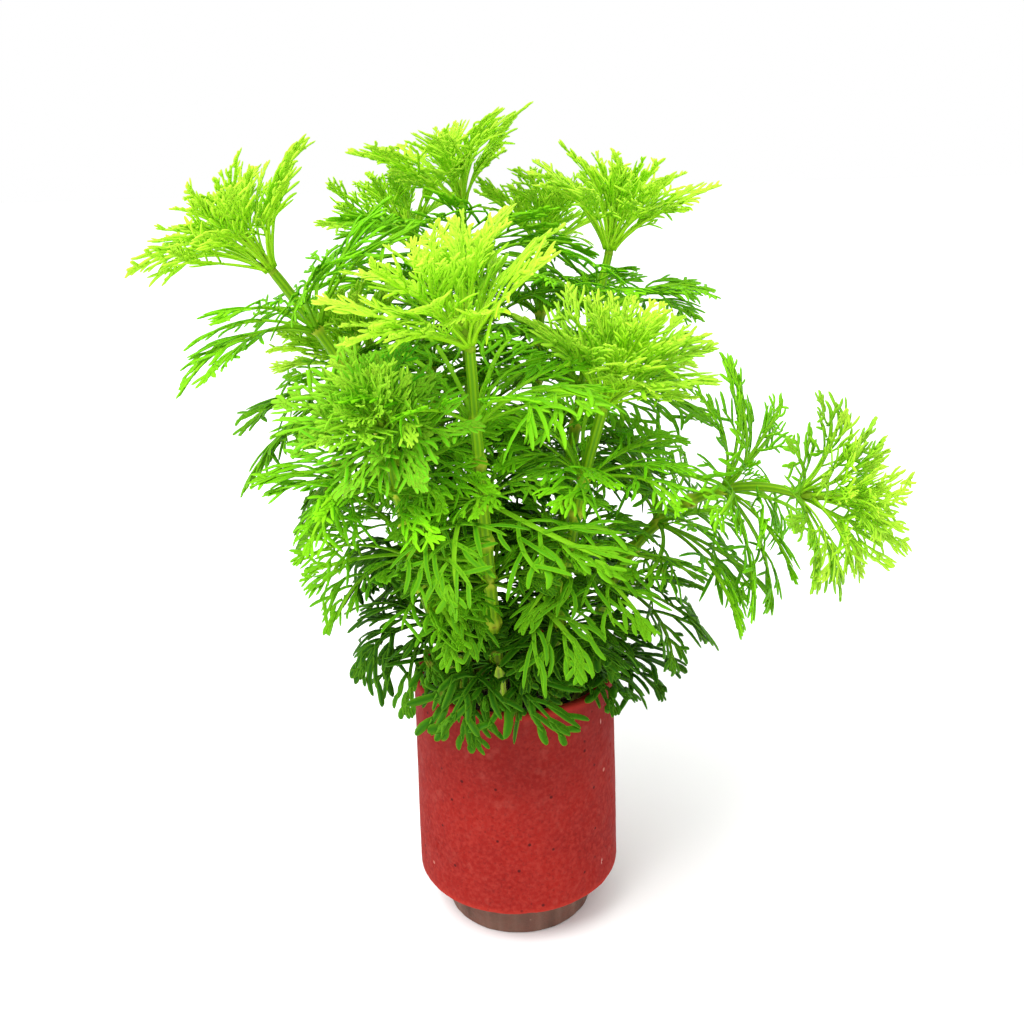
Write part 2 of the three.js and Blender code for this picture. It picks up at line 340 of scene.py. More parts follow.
def red_cement():
    """Brick red, cloudy, with pale grains and dust, painted shade in its air holes, inside the cup and
    towards the top, and a painted highlight on its edges.
    """
    paint = Paint("red_cement", 0.85, Specular_IOR_Level=0.12)
    red = paint.mix(paint.effect("mottle", Scale=60), (0.22, 0.009, 0.007), (0.28, 0.012, 0.008))
    red = paint.mix(paint.effect("mottle", Scale=1100, From=-0.2, To=0.55), red, (0.36, 0.035, 0.025))
    red = paint.mix(paint.effect("mottle", Scale=1700, From=-0.6, To=0.42), red, (0.12, 0.006, 0.006))
    # Painted shade: the wall darkens towards the top, under the leaves that hang over the rim.
    height = add_node(paint.tree, "ShaderNodeSeparateXYZ", {"Vector": paint.place}).outputs["Z"]
    painted_top_shade = paint.math("MULTIPLY", paint.math("SUBTRACT", height, 30 * mm), 22.0)
    red = paint.mix(paint.math("MULTIPLY", painted_top_shade, 0.8), red, (0.14, 0.011, 0.01))
    dust = paint.math("MULTIPLY", paint.effect("mottle", Scale=260, From=-1.6, To=0.5), 0.2)
    red = paint.mix(dust, red, (0.45, 0.12, 0.09))
    # Painted shade: near-black dots where small air holes lie, which also dip the relief below.
    shaded_holes = paint.effect("specks", Scale=420, Radius=0.2, Share=0.2)
    red = paint.mix(paint.math("MULTIPLY", shaded_holes, 0.85), red, (0.05, 0.003, 0.004))
    grains = paint.effect("specks", Scale=210, Radius=0.13, Share=0.16)
    red = paint.mix(paint.math("MULTIPLY", grains, 0.6), red, (0.62, 0.26, 0.2))
    scratches = paint.effect("specks", paint.stretched((1, 1, 0.3)), Scale=330, Radius=0.1, Share=0.1)
    red = paint.mix(paint.math("MULTIPLY", scratches, 0.7), red, (0.7, 0.4, 0.34))
    # Painted highlight: a brighter red along the rounded rim and the bottom edge.
    red = paint.mix(paint.math("MULTIPLY", paint.value("edge"), 0.6), red, (0.5, 0.035, 0.02))
    # Painted shade on the inner wall and floor of the cup.
    red = paint.mix(paint.math("MULTIPLY", paint.value("shaded_inside"), 0.6), red, (0.1, 0.012, 0.01))
    paint.colour(red)
    paint.roughness(paint.effect("mottle", Scale=300, From=0.72, To=0.92))
    grit = paint.math("ADD", paint.effect("mottle", Scale=1500, From=0.3, To=0.6), 0.2)
    paint.relief(paint.math("SUBTRACT", grit, paint.math("MULTIPLY", shaded_holes, 0.6)), 0.12 * mm)
    return paint.material


join_frame(make_pot(), "pot", red_cement())

# ---------------------------------------------------------------- the foot
# A short plug of undyed cement cast onto the cup, which stands on it. Its side is streaked where the
# mould was drawn off, and a little of the red dye has run down into it.

FOOT_SIDES = 240
FOOT_ROUND = 0.7 * mm

foot_low, foot_high = (np.array(corner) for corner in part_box("pot_foot"))
foot_radius = (foot_high[0] - foot_low[0]) / 2
foot_top = pot_bottom + 0.05 * mm


def make_foot():
    """A disc turned round the Z axis with a rounded lower edge, and long upright waves in its side."""
    inner = foot_radius - FOOT_ROUND
    outline = np.concatenate(
        [
            straight((AXIS_GAP, 0), (inner, 0), 10),
            arc_points((inner, FOOT_ROUND), FOOT_ROUND, -90, 0, 7),
            straight((foot_radius, FOOT_ROUND), (foot_radius, foot_top), 36),
            straight((foot_radius, foot_top), (AXIS_GAP, foot_top), 8),
        ]
    )
    grid = turned(outline, FOOT_SIDES)
    radius = np.hypot(grid[..., 0], grid[..., 1])
    side = np.clip((radius / foot_radius - 0.9) * 10, 0, 1)
    push = 0.16 * mm * waves(grid * (1, 1, 0.15), 11, 5 * mm) + 0.06 * mm * waves(grid, 12, 2 * mm)
    grid = grid + grid * (1, 1, 0) / radius[..., None] * (push * side)[..., None]
    return make_piece("foot_disc", with_poles(grid), closed_faces(len(outline), FOOT_SIDES))


def bare_cement():
    """Grey-brown, cloudy and streaked upright, with red-brown stains and pale grains."""
    paint = Paint("bare_cement", 0.6, Specular_IOR_Level=0.2)
    streaks = paint.effect("mottle", paint.stretched((1, 1, 0.12)), Scale=300)
    brown = paint.mix(streaks, (0.1, 0.05, 0.034), (0.2, 0.105, 0.075))
    brown = paint.mix(paint.effect("mottle", Scale=240, From=-0.4, To=0.7), brown, (0.17, 0.07, 0.05))
    grains = paint.effect("specks", Scale=500, Radius=0.2, Share=0.16)
    brown = paint.mix(paint.math("MULTIPLY", grains, 0.6), brown, (0.4, 0.22, 0.17))
    # Painted shade: near-black dots in small air holes.
    shaded_holes = paint.effect("specks", Scale=650, Radius=0.2, Share=0.12)
    brown = paint.mix(paint.math("MULTIPLY", shaded_holes, 0.7), brown, (0.035, 0.02, 0.015))
    paint.colour(brown)
    paint.roughness(paint.effect("mottle", Scale=500, From=0.45, To=0.75))
    paint.relief(paint.effect("mottle", Scale=1300), 0.15 * mm)
    return paint.material


join_frame(make_foot(), "pot_foot", bare_cement())

# ---------------------------------------------------------------- the soil
# A plug of damp planting fibre pressed into the cup to a little below the rim. Its top is uneven and
# scattered with crumbs of grit.

SOIL_SIDES = 200
SOIL_FALL = 1.2 * mm  # how much lower the soil lies at the wall than in the middle
CRUMBS = 420

soil_low, soil_high = (np.array(corner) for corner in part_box("soil"))
soil_radius = (soil_high[0] - soil_low[0]) / 2
soil_top = soil_high[2]


def make_soil():
    """A plug whose top falls by SOIL_FALL towards the wall, with waves of two sizes in it."""
    edge = soil_top - SOIL_FALL
    outline = np.concatenate(
        [
            straight((AXIS_GAP, soil_low[2]), (soil_radius, soil_low[2]), 6),
            straight((soil_radius, soil_low[2]), (soil_radius, edge), 12),
            straight((soil_radius, edge), (AXIS_GAP, soil_top), 60),
        ]
    )
    grid = turned(outline, SOIL_SIDES)
    rough = 0.55 * mm * waves(grid, 21, 4 * mm) + 0.3 * mm * waves(grid, 22, 1.3 * mm)
    grid[..., 2] += np.where(grid[..., 2] > soil_top - 1.5 * mm, rough, 0)
    return make_piece("soil_plug", with_poles(grid), closed_faces(len(outline), SOIL_SIDES))


def make_crumbs():
    """Grit: closed lumps of 4 rings by 6 points, squashed, turned and half sunk in the soil."""
    rng = np.random.default_rng(23)
    size = rng.uniform(0.35, 0.9, CRUMBS) * mm
    away = soil_radius * 0.96 * np.sqrt(rng.uniform(0, 1, CRUMBS))
    turn = rng.uniform(0, 2 * np.pi, CRUMBS)
    level = soil_top - SOIL_FALL * (away / soil_radius) + 0.2 * mm
    centre = np.stack([away * np.cos(turn), away * np.sin(turn), level], -1)
    polar = np.radians([155, 110, 70, 25])
    side = np.linspace(0, 2 * np.pi, 6, endpoint=False)
    ball = np.stack(
        [
            np.sin(polar)[:, None] * np.cos(side),
            np.sin(polar)[:, None] * np.sin(side),
            np.cos(polar)[:, None] + 0 * side,
        ],
        -1,
    ).reshape(-1, 3)
    ball = np.concatenate([ball, [[0, 0, -1], [0, 0, 1]]])
    squash = rng.uniform(0.6, 1.1, (CRUMBS, 1, 3))
    shape = ball * squash * rng.uniform(0.85, 1.15, (CRUMBS, len(ball), 1))
    spin = rng.uniform(0, 2 * np.pi, CRUMBS)
    cos, sin = np.cos(spin)[:, None], np.sin(spin)[:, None]
    x, y, z = (shape[..., axis] for axis in range(3))
    shape = np.stack([x * cos - z * sin, y, x * sin + z * cos], -1)
    points = centre[:, None] + shape * size[:, None, None]
    tone = np.repeat(rng.uniform(0, 1, CRUMBS), len(ball))
    return make_piece("soil_grit", points.reshape(-1, 3), closed_faces(4, 6, CRUMBS), {"tone": tone})


def soil_paint(name, dark, light, by_lump=False):
    """Nearly black to brown crumbs, damp in places. by_lump also shades each lump by its tone."""
    paint = Paint(name, 0.9)
    brown = paint.mix(paint.effect("mottle", Scale=700), dark, light)
    if by_lump:
        brown = paint.mix(paint.math("MULTIPLY", paint.value("tone"), 0.6), brown, (0.2, 0.15, 0.1))
    paint.colour(brown)
    paint.roughness(paint.effect("mottle", Scale=350, From=0.55, To=1.0))
    paint.relief(paint.effect("mottle", Scale=2200), 0.3 * mm)
    return paint.material


planting_soil = soil_paint("planting_soil", (0.012, 0.009, 0.006), (0.06, 0.042, 0.026))
join_frame(make_soil(), "soil", planting_soil)
soil_crumbs = soil_paint("soil_crumbs", (0.02, 0.014, 0.01), (0.09, 0.062, 0.04), by_lump=True)
grit = make_crumbs()
grit.data.materials.append(soil_crumbs)
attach(grit, "root")

# ---------------------------------------------------------------- the stems
# Fleshy round stems, ribbed lightly lengthwise, with a swollen joint under every whorl of leaves. They
# are green in the light and pale tan with scars low down, where older leaves have dropped off.

STEM_SIDES = 28
STEM_STEP = 0.6 * mm
RING_GAP = 3 * mm  # the CAD stem's rings of corners stand further apart than this
JOINT_SWELL = 0.5 * mm
LEAF_FOOT = 4.6 * mm  # corners of a CAD whorl nearer the centreline than this are its leaves' feet
SAMPLES = 400  # places on a centreline that are searched for a joint
GREEN_RISE = 75 * mm  # a stem turns from tan to green over this height above the soil


def corners(node):
    """The distinct corners of a CAD node."""
    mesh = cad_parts[node].data
    found = np.empty(len(mesh.vertices) * 3)
    mesh.vertices.foreach_get("co", found)
    return np.unique(found.reshape(-1, 3).round(6), axis=0)


class Stem:
    """The centreline and thickness of a CAD stem, as polynomials of the share of its length."""

    def __init__(self, name):
        points = corners(f"stem_{name}")
        middle = points.mean(0)
        chord = np.linalg.svd(points - middle, full_matrices=False)[2][0]
        chord = chord * np.sign(chord[2])
        place = (points - middle) @ chord
        order = np.argsort(place)
        rings = np.split(points[order], np.flatnonzero(np.diff(place[order]) > RING_GAP) + 1)
        centres = np.array([ring.mean(0) for ring in rings])
        radii = [np.linalg.norm(ring - centre, axis=1).max() for ring, centre in zip(rings, centres)]
        run = np.append(0, np.linalg.norm(np.diff(centres, axis=0), axis=1).cumsum())
        self.name = name
        self.length = run[-1]
        self.line = np.polyfit(run / self.length, centres, 4)
        self.thick = np.polyfit(run / self.length, radii, 1)
        samples = self.at(np.linspace(0, 1, SAMPLES))
        self.joints = []
        for node in sorted(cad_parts):
            if node.startswith(f"whorl_{name}_") and node[len(f"whorl_{name}_") :].isdigit():
                near = np.linalg.norm(corners(node)[:, None] - samples, axis=2)
                close = near.min(1) < LEAF_FOOT
                self.joints.append(near[close].argmin(1).mean() / (SAMPLES - 1))

    def at(self, share):
        """Points on the centreline."""
        return np.stack([np.polyval(self.line[:, axis], share) for axis in range(3)], -1)

    def along(self, share):
        """Unit directions of the centreline towards its tip."""
        slope = np.stack([np.polyval(np.polyder(self.line[:, axis]), share) for axis in range(3)], -1)
        return slope / np.linalg.norm(slope, axis=-1, keepdims=True)

    def radius(self, share):
        return np.polyval(self.thick, share)


def across(direction):
    """Two unit directions square to a direction and to each other, the first one level."""
    level = np.cross((0, 1, 0), direction)
    level = level / np.linalg.norm(level, axis=-1, keepdims=True)
    return level, np.cross(direction, level)


STEM_NAMES = sorted(node[5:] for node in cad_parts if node.startswith("stem_"))
stems = {name: Stem(name) for name in STEM_NAMES}


def make_stem(stem, seed):
    """Rings carried along the centreline, ribbed by 1 + 0.05 cos 7a, with a swelling at each joint.

    A swelling is JOINT_SWELL * exp(-(distance / 1.1 mm)^2), with a fine groove just above it. Bare
    joints, which have dropped their leaves, stand half way between the ones that bear whorls.
    """
    rows = int(stem.length / STEM_STEP)
    share = np.linspace(0, 1, rows)
    level, third = across(stem.along(share))
    angle = np.linspace(0, 2 * np.pi, STEM_SIDES, endpoint=False)
    joints = np.array(stem.joints)
    joints = np.concatenate([joints, (joints[1:] + joints[:-1]) / 2, [0.5 * joints[-1]]])
    far = (share[:, None] - joints) * stem.length
    swell = np.exp(-((far / (1.1 * mm)) ** 2)).sum(1)
    groove = np.exp(-(((far - 1.5 * mm) / (0.35 * mm)) ** 2)).sum(1)
    size = stem.radius(share) * (0.88 - 0.17 * share + 0.03 * np.sin(share * 9 + seed))
    size = size + JOINT_SWELL * swell - 0.16 * mm * groove
    size = size * np.clip((1.004 - share) * stem.length / (1.2 * mm), 0.3, 1) ** 0.5
    ribs = 1 + 0.05 * np.cos(7 * angle + 2 * share[:, None]) + 0.012 * np.cos(13 * angle + seed)
    spokes = np.cos(angle)[:, None] * level[:, None] + np.sin(angle)[:, None] * third[:, None]
    grid = stem.at(share)[:, None] + (size[:, None] * ribs)[..., None] * spokes
    grid = grid + level[:, None] * (0.1 * mm * waves(grid, seed, 9 * mm))[..., None]
    height = np.clip((grid[..., 2] - soil_top) / GREEN_RISE, 0, 1)
    values = {
        "height": np.append(height.ravel(), [0, 1]),
        "joint": np.append(np.repeat(np.clip(swell, 0, 1), STEM_SIDES), [0, 0]),
        "rib": np.append((ribs - 0.94).ravel() / 0.12, [0.5, 0.5]),  # 0 in grooves, 1 on ribs
    }
    faces = closed_faces(rows, STEM_SIDES)
    return make_piece(f"plant_stem_{stem.name}", with_poles(grid), faces, values)


def stem_paint():
    """Tan at the soil, olive green in the middle and fresh green on top, with pale joints and painted
    highlights on the ribs.
    """
    paint = Paint("stem_skin", 0.5, Specular_IOR_Level=0.12)
    streaky = paint.stretched((1, 1, 0.2))
    height = paint.value("height")
    streaks = paint.effect("mottle", streaky, Scale=320)
    green = paint.mix(streaks, (0.05, 0.17, 0.001), (0.11, 0.28, 0.002))
    young = paint.math("MULTIPLY", paint.math("SUBTRACT", height, 0.4), 2.2)
    green = paint.mix(young, green, (0.08, 0.29, 0.001))
    tan = paint.mix(streaks, (0.16, 0.13, 0.035), (0.34, 0.28, 0.11))
    scars = paint.effect("specks", paint.stretched((1, 1, 0.5)), Scale=420, Radius=0.34, Share=0.24)
    tan = paint.mix(paint.math("MULTIPLY", scars, 0.75), tan, (0.1, 0.05, 0.015))
    low = paint.math("SUBTRACT", 1.05, paint.math("MULTIPLY", height, 2.6))
    skin = paint.mix(low, green, tan)
    # Painted highlight: pale yellow-green along the crests of the ribs, the grooves left darker.
    skin = paint.mix(paint.math("MULTIPLY", paint.value("rib"), 0.75), skin, (0.34, 0.62, 0.003))
    ring = paint.math("MULTIPLY", paint.value("joint"), paint.math("ADD", height, 0.25))
    skin = paint.mix(ring, skin, (0.55, 0.62, 0.04))
    spots = paint.effect("specks", Scale=520, Radius=0.4, Share=0.3)
    skin = paint.mix(paint.math("MULTIPLY", spots, paint.value("joint")), skin, (0.16, 0.1, 0.01))
    paint.colour(skin)
    paint.roughness(paint.effect("mottle", Scale=400, From=0.4, To=0.65))
    paint.relief(paint.effect("mottle", streaky, Scale=900), 0.08 * mm)
    return paint.material


stem_skin = stem_paint()
for seed, stem in enumerate(stems.values()):
    join_frame(make_stem(stem, 30 + seed), f"stem_{stem.name}", stem_skin)

# ---------------------------------------------------------------- the leaves
# Each leaf is a feather: a fleshy stalk that runs on as a midrib, with side ribs in pairs that fork
# again into blunt narrow lobes. Young ones stand up and are finely cut, and old ones are broad in the
# lobe and bent down. Old ones are painted dark, partly for their own deeper green and partly as painted
# shade on the low whorls.

STALK_RINGS = np.array([0.0, 0.04, 0.1, 0.18, 0.28, 0.4, 0.52, 0.64, 0.76, 0.88, 0.96])
RIB_RINGS = np.array([0.0, 0.2, 0.42, 0.66, 0.85, 0.96])
LOBE_RINGS = np.array([0.0, 0.3, 0.6, 0.83, 0.95])
LEAF_SIZE = 25 * mm  # a full-grown leaf, for which widths are given


def feathers(rng, age, size, pairs, lobes):
    """The strips of flat leaves of length 1, one leaf per entry of age, as three levels of arcs.

    A strip has a start (u, v), a heading from the midrib's direction, a length, a bend, which is how
    far its heading turns towards its tip, a half width and a lift, which is how steeply it stands up
    from the blade. The stalk is bare for 0.4 of its length. From there on side ribs stand on it
    in pairs, the lowest the longest, as 1 - 0.72 k^1.2 with k from 0 at the first pair to 1 at the
    tip, and lobes start on both sides of them by turns.
    """

    def spread(size, *shape):
        return rng.uniform(-size, size, (len(age), *shape))

    age1, age2 = age[:, None], age[:, None, None]
    opened = np.clip(age2 / 0.3, 0, 1)
    narrow = (size / LEAF_SIZE) ** 0.6 / size
    half = (0.33 + 0.27 * age1 + 0.28 * age1**4) * mm * narrow[:, None]
    still = np.zeros((len(age), 1))
    stalk_half = (0.45 + 0.15 * age1) * mm * narrow[:, None]
    stalk = (still, still, spread(0.06, 1), still + 1, spread(0.14, 1), stalk_half, still)

    k = np.linspace(0, 0.95, pairs)[:, None] * np.ones(2) + np.array([0, 0.06]) + spread(0.03, pairs, 2)
    side = np.array([-1, 1]) * rng.choice([-1, 1], (len(age), 1, 1)) + 0 * k
    angle = side * np.radians(34 + 24 * opened - (14 + 16 * opened) * k + spread(8, pairs, 2))
    reach = (0.27 + 0.17 * opened + 0.12 * age2**4) * (1 - 0.72 * np.clip(k, 0, 1) ** 1.2)
    reach = reach * (1 + spread(0.18, pairs, 2))
    bend = -side * np.radians(28 + spread(44, pairs, 2))
    lift = spread(0.22, pairs, 2)
    first = 0.38 + 0.06 * opened
    rib = (first + (0.95 - first) * k, 0 * k, angle, reach, bend, half[..., None] * 0.86 + 0 * k, lift)

    s = np.linspace(0.4, 0.82, lobes) + spread(0.05, pairs, 2, lobes)
    base = arc_place(*(value[..., None] for value in rib[:5]), s)
    twig = np.where(np.arange(lobes) % 2, 1, -1) * side[..., None]
    fork = np.radians(32 + 10 * opened[..., None] - 8 * s + spread(12, pairs, 2, lobes))
    turn = angle[..., None] + bend[..., None] * s + twig * fork
    long = reach[..., None] * (0.55 * (1 - s) + 0.26) * (1 + spread(0.25, pairs, 2, lobes)) + 0.05
    wide = half[..., None, None] * (1 + spread(0.15, pairs, 2, lobes))
    curve = spread(0.8, pairs, 2, lobes) - 0.35 * twig
    lobe = (base[..., 0], base[..., 1], turn, long, curve, wide, lift[..., None] + 0 * s)
    return stalk, rib, lobe


def arc_place(u, v, heading, length, bend, s):
    """The point at the share s of an arc whose heading turns evenly by bend along its length."""
    bend = np.where(np.abs(bend) < 1e-4, 1e-4, bend)
    du = (np.sin(heading + bend * s) - np.sin(heading)) / bend
    dv = (np.cos(heading) - np.cos(heading + bend * s)) / bend
    return np.stack([u + length * du, v + length * dv], -1)


def ribbons(strips, rings, flare, thick, scale):
    """Closed channelled ribbons along the strips, as (leaf, strip, point, [u, v, h]) for size 1.

    The half width is w * (1 + flare * exp(-s / 0.05)) * (0.78 + 0.3 s), which rounds off to the tip
    as sqrt(1 - ((s - 0.5) / 0.5)^2). A ring has four points: the left edge, a low middle on top, the
    right edge and a bottom at the depth thick.
    """
    u, v, heading, length, bend, width = (value.reshape(len(value), -1, 1) for value in strips[:6])
    middle = arc_place(u, v, heading, length, bend, rings)
    turn = heading + bend * rings
    left = np.stack([-np.sin(turn), np.cos(turn)], -1)
    end = np.sqrt(1 - np.clip((rings - 0.5) / 0.5, 0, 1) ** 2)
    wide = width * (1 + flare * np.exp(-rings / 0.05)) * (0.78 + 0.3 * rings) * end
    deep = np.minimum(wide, thick / scale[:, None, None])
    edge = (wide * 0.3)[..., None]
    half = wide[..., None] * left
    ring = np.stack(
        [
            np.concatenate([middle + half, edge], -1),
            np.concatenate([middle, 0.15 * edge], -1),
            np.concatenate([middle - half, edge], -1),
            np.concatenate([middle, -deep[..., None]], -1),
        ],
        -2,
    )
    start = np.concatenate([middle[:, :, :1], 0 * edge[:, :, :1]], -1)
    tip = arc_place(u, v, heading, length, bend, np.array([1.0]))
    tip = np.concatenate([tip, 0 * tip[..., :1]], -1)
    leaves, count = ring.shape[:2]
    return np.concatenate([ring.reshape(leaves, count, -1, 3), start, tip], 2)


def on_arcs(flat, lift, arcs):
    """Flat leaf points laid on their arcs.

    u runs along a quadratic curve from root by knee to tip, v goes to the side of it, and the blade
    folds up from the midrib by (fold + lift) * |v| and curls down again by curl * v^2. It twists
    evenly along u.
    """
    u, v, h = (flat[..., index, None] for index in range(3))
    root, knee, tip, side = (arcs[key][:, None, None] for key in ("root", "knee", "tip", "side"))
    size, fold, curl, twist, sway = (
        arcs[key].reshape(-1, 1, 1, 1) for key in ("size", "fold", "curl", "twist", "sway")
    )
    place = root * (1 - u) ** 2 + knee * 2 * u * (1 - u) + tip * u**2
    slope = (knee - root) * (1 - u) + (tip - knee) * u
    slope = slope / np.linalg.norm(slope, axis=-1, keepdims=True)
    up = np.cross(slope, side)
    turn = twist * u
    wide = side * np.cos(turn) + up * np.sin(turn)
    high = up * np.cos(turn) - side * np.sin(turn)
    rise = h + (fold + lift.reshape(len(lift), -1, 1, 1)) * np.abs(v) - curl * v**2
    return place + size * (wide * (v + sway * u * (1 - u)) + high * rise)


def leaf_arcs(rng, root, tip, axis, droop, fold, curl):
    """The arcs of leaves from their roots to their tips, bent over by droop degrees along the way.

    The knee stands half way along the chord, turned up from it by half the droop. fold and curl are
    ranges to draw from.
    """
    chord = tip - root
    size = np.linalg.norm(chord, axis=1, keepdims=True)
    ahead = chord / size
    side = np.cross(axis, ahead)
    side = side / np.linalg.norm(side, axis=1, keepdims=True)
    up = np.cross(ahead, side)
    knee = root + 0.5 * size * (ahead + np.tan(np.radians(droop / 2))[:, None] * up)
    count = len(root)
    return {
        "root": root,
        "knee": knee,
        "tip": tip,
        "side": side,
        "size": size[:, 0],
        "fold": rng.uniform(*fold, count),
        "curl": rng.uniform(*curl, count),
        "twist": np.radians(rng.uniform(-26, 26, count)),
        "sway": rng.uniform(-0.5, 0.5, count),
    }


def atlas(mesh, counts):
    """A UV map in which every ribbon's faces have a cell of their own, so that no two share a place."""
    total = sum(count for count, _ in counts)
    columns = int(np.ceil(np.sqrt(total)))
    quads, fans = [], []
    first = 0
    for count, rings in counts:
        cell = np.arange(first, first + count)
        corner = np.stack([cell % columns, cell // columns], -1) / columns
        ring, side = np.meshgrid(np.arange(rings - 1), np.arange(4), indexing="ij")
        low, high = (ring + 1).ravel() / (rings + 1), (ring + 2).ravel() / (rings + 1)
        left, right = side.ravel() / 4, (side.ravel() + 1) / 4
        quad = np.stack([(low, left), (low, right), (high, right), (high, left)], 0).transpose(2, 0, 1)
        side = np.arange(4)
        left, right, middle = side / 4, (side + 1) / 4, (side + 0.5) / 4
        near, far = 1 / (rings + 1) + 0 * left, rings / (rings + 1) + 0 * left
        start = np.stack([(near, right), (near, left), (0 * near, middle)], 0).transpose(2, 0, 1)
        end = np.stack([(far, left), (far, right), (1 + 0 * far, middle)], 0).transpose(2, 0, 1)
        fan = np.concatenate([start, end])
        for pattern, out in ((quad, quads), (fan, fans)):
            out.append((corner[:, None, None] + (0.04 + 0.92 * pattern) / columns).reshape(-1, 2))
        first += count
    layer = mesh.uv_layers.new(name="OFBake")
    layer.data.foreach_set("uv", np.concatenate(quads + fans).astype(np.float32).ravel())


def make_leaves(name, rng, arcs, age, pairs, lobes):
    """One mesh of feathery leaves on their arcs, with values for painting at every point.

    along runs from a leaf's root to its tip, edge is 1 on the edges of strips, where a painted highlight
    goes, and 0 along their middles, vein is 1 on stalks and 0 on lobes, age is 0 on young leaves and 1
    on old ones, and tone differs from leaf to leaf.
    """
    tone = rng.uniform(0, 1, len(age))
    points, quads, fans, counts = [], [], [], []
    values = {"along": [], "edge": [], "vein": [], "age": [], "tone": []}
    start = 0
    kinds = (
        (STALK_RINGS, 0.9, 0.75 * mm, 1.0),
        (RIB_RINGS, 0.0, 0.5 * mm, 0.4),
        (LOBE_RINGS, 0.0, 0.3 * mm, 0.0),
    )
    levels = feathers(rng, age, arcs["size"], pairs, lobes)
    for strips, (rings, flare, thick, vein) in zip(levels, kinds):
        flat = ribbons(strips, rings, flare, thick, arcs["size"])
        leaves, count, size = flat.shape[:3]
        some_quads, some_fans = closed_faces(len(rings), 4, leaves * count)
        quads.append(some_quads + start)
        fans.append(some_fans + start)
        points.append(on_arcs(flat, strips[6], arcs).reshape(-1, 3))
        counts.append((leaves * count, len(rings)))
        start += leaves * count * size
        values["along"].append(flat[..., 0].ravel())
        # 1 at the strips' left and right edges, where the paint puts a highlight.
        edge_highlight_mask = np.append(np.tile([1.0, 0.0], 2 * len(rings)), [0, 1])
        values["edge"].append(np.tile(edge_highlight_mask, leaves * count))
        values["vein"].append(np.full(leaves * count * size, vein))
        values["age"].append(np.repeat(age, count * size))
        values["tone"].append(np.repeat(tone, count * size))
    joined = {key: np.concatenate(parts) for key, parts in values.items()}
    faces = (np.concatenate(quads), np.concatenate(fans))
    piece = make_piece(name, np.concatenate(points), faces, joined)
    atlas(piece.data, counts)
    return piece


def leaf_tips(node, centre, axis):
    """Tips of a CAD whorl's leaves: the mean of the corners that none within 12 degrees outreach."""
    spoke = corners(node) - centre
    level, third = across(axis)
    turn = np.arctan2(spoke @ third, spoke @ level)
    reach = np.linalg.norm(spoke, axis=1)
    beside = np.abs(np.angle(np.exp(1j * (turn[:, None] - turn)))) < np.radians(12)
    outer = (reach[:, None] > (reach * beside) - 1.2 * mm).all(1) & (reach > 7 * mm)
    order = np.argsort(turn[outer])
    tips, turn = spoke[outer][order], turn[outer][order]
    parts = np.split(tips, np.flatnonzero(np.diff(turn) > np.radians(9)) + 1)
    if len(parts) > 1 and turn[0] + 2 * np.pi - turn[-1] < np.radians(9):
        parts[0] = np.concatenate([parts[0], parts.pop()])
    return centre + np.array([part.mean(0) for part in parts])


def ring_of_tips(rng, centre, axis, count, reach, rise):
    """Tips of count leaves at about equal turns round an axis, rising from the level by rise degrees."""
    level, third = across(axis)
    turn = (np.arange(count) + rng.uniform(-0.2, 0.2, count)) * 2 * np.pi / count + rng.uniform(0, 6)
    lift = np.radians(rise + rng.uniform(-8, 8, count))[:, None]
    out = np.cos(turn)[:, None] * level + np.sin(turn)[:, None] * third
    stretch = rng.uniform(0.85, 1.1, (count, 1))
    return centre + (np.cos(lift) * out + np.sin(lift) * axis) * reach * stretch


def roots_for(tips, centre, axis, distance):
    """Where leaves to the tips leave a round stem, at the distance from its axis."""
    out = tips - centre
    out = out - (out @ axis)[:, None] * axis
    return centre + out / np.linalg.norm(out, axis=1, keepdims=True) * distance


def leaf_paint(name, blade, shade, tips, old_and_shaded):
    """Green cut leaf: pale stalks, painted highlights on its edges, lighter towards the tips, darker
    when old, partly as painted shade, and cloudy.
    """
    paint = Paint(name, 0.5, Specular_IOR_Level=0.08)
    age, along, tone = (paint.value(key) for key in ("age", "along", "tone"))
    green = paint.mix(tone, blade, shade)
    green = paint.mix(paint.effect("mottle", Scale=380, From=0, To=0.5), green, shade)
    outer = paint.math("SUBTRACT", along, 0.45)
    light = paint.math("MULTIPLY", outer, paint.math("SUBTRACT", 1.3, age))
    green = paint.mix(light, green, tips)
    # Darker when old: partly the older leaves' own deeper green, partly painted shade on the low whorls.
    aged_and_shaded = paint.math("MULTIPLY", paint.math("SUBTRACT", age, 0.2), 2.2)
    darker = paint.math("SUBTRACT", 1.15, paint.math("MULTIPLY", tone, 0.4))
    green = paint.mix(paint.math("MULTIPLY", aged_and_shaded, darker), green, old_and_shaded)
    spots = paint.effect("specks", Scale=300, Radius=0.35, Share=0.08)
    green = paint.mix(paint.math("MULTIPLY", spots, age), green, (0.2, 0.17, 0.02))
    vein = paint.math("MULTIPLY", paint.value("vein"), paint.math("SUBTRACT", 1.0, age))
    green = paint.mix(paint.math("MULTIPLY", vein, 0.55), green, (0.42, 0.75, 0.02))
    # Painted highlight along the edges of the strips, in the tips colour on young leaves and a mid green
    # on old ones.
    edge = paint.math("MULTIPLY", paint.math("POWER", paint.value("edge"), 2.0), 0.8)
    green = paint.mix(edge, green, paint.mix(age, tips, (0.14, 0.38, 0.012)))
    paint.colour(green)
    paint.roughness(paint.effect("mottle", Scale=600, From=0.47, To=0.65))
    paint.relief(paint.effect("mottle", Scale=1600), 0.06 * mm, 0.35)
    return paint.material


leaf_green = leaf_paint(
    "leaf_green",
    blade=(0.08, 0.48, 0.001),
    shade=(0.03, 0.26, 0.001),
    tips=(0.33, 0.86, 0.01),
    old_and_shaded=(0.014, 0.08, 0.002),
)


